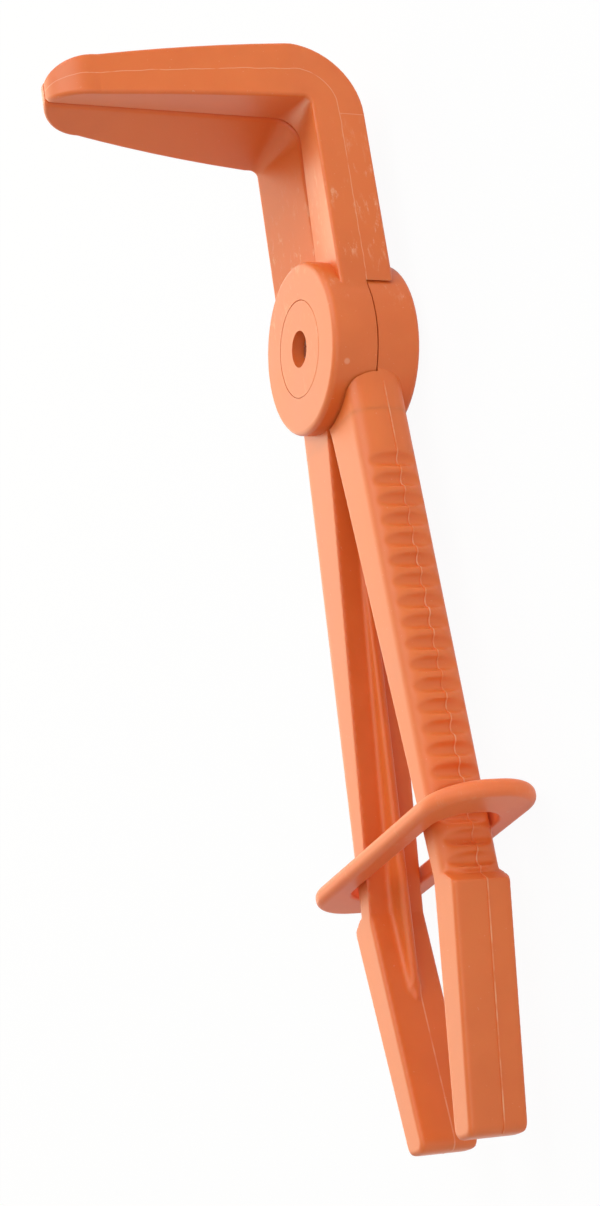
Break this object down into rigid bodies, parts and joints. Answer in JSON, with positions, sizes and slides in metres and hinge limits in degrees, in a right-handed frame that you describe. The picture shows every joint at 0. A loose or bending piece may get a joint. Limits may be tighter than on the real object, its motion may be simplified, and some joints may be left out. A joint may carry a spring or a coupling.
{
  "type": "hose pinch clamp",
  "caption": "Long-handled plastic pinch clamp with right-angled jaws, two crossing levers on a screwed pivot and a sliding oval ring that holds the handles.",
  "frame": {"origin": "on the pivot axis, in the plane the clamp rests on when it lies on its back", "axes": "+Z along the pivot axis and up, +Y along the tool from the handles to the jaws, +X to the side of the front lever's jaw"},
  "size_m": [0.0786, 0.2463, 0.0758],
  "materials": {
    "lever_nylon": "satin moulded orange nylon",
    "ring_nylon": "satin moulded orange nylon",
    "pivot_nylon": "satin moulded orange nylon",
    "screw_steel": "zinc plated steel"
  },
  "bodies": {
    "pivot": {"pivot_stud": "pivot_nylon", "pivot_cap": "pivot_nylon", "pivot_washer": "screw_steel", "pivot_nut": "screw_steel", "pivot_screw": "screw_steel"},
    "front_lever": {"front_lever": "lever_nylon"},
    "rear_lever": {"rear_lever": "lever_nylon"},
    "lock_ring": {"lock_ring": "ring_nylon"}
  },
  "joints": [
    {"name": "front_lever_hinge", "type": "hinge", "parent": "pivot", "child": "front_lever", "pos_m": [0, 0, 0.0126], "axis": [0, 0, -1], "range_deg": [0, 7.5]},
    {"name": "rear_lever_hinge", "type": "hinge", "parent": "pivot", "child": "rear_lever", "pos_m": [0, 0, 0.0126], "axis": [0, 0, 1], "range_deg": [0, 7.5]},
    {"name": "lock_ring_slide", "type": "slide", "parent": "pivot", "child": "lock_ring", "axis": [0, 1, 0], "range_m": [0, 0.084]}
  ],
  "couplings": [
    {"joint": "rear_lever_hinge", "follows": "front_lever_hinge", "ratio": 1},
    {"joint": "lock_ring_slide", "follows": "front_lever_hinge", "m_per_rad": 0.6417}
  ]
}
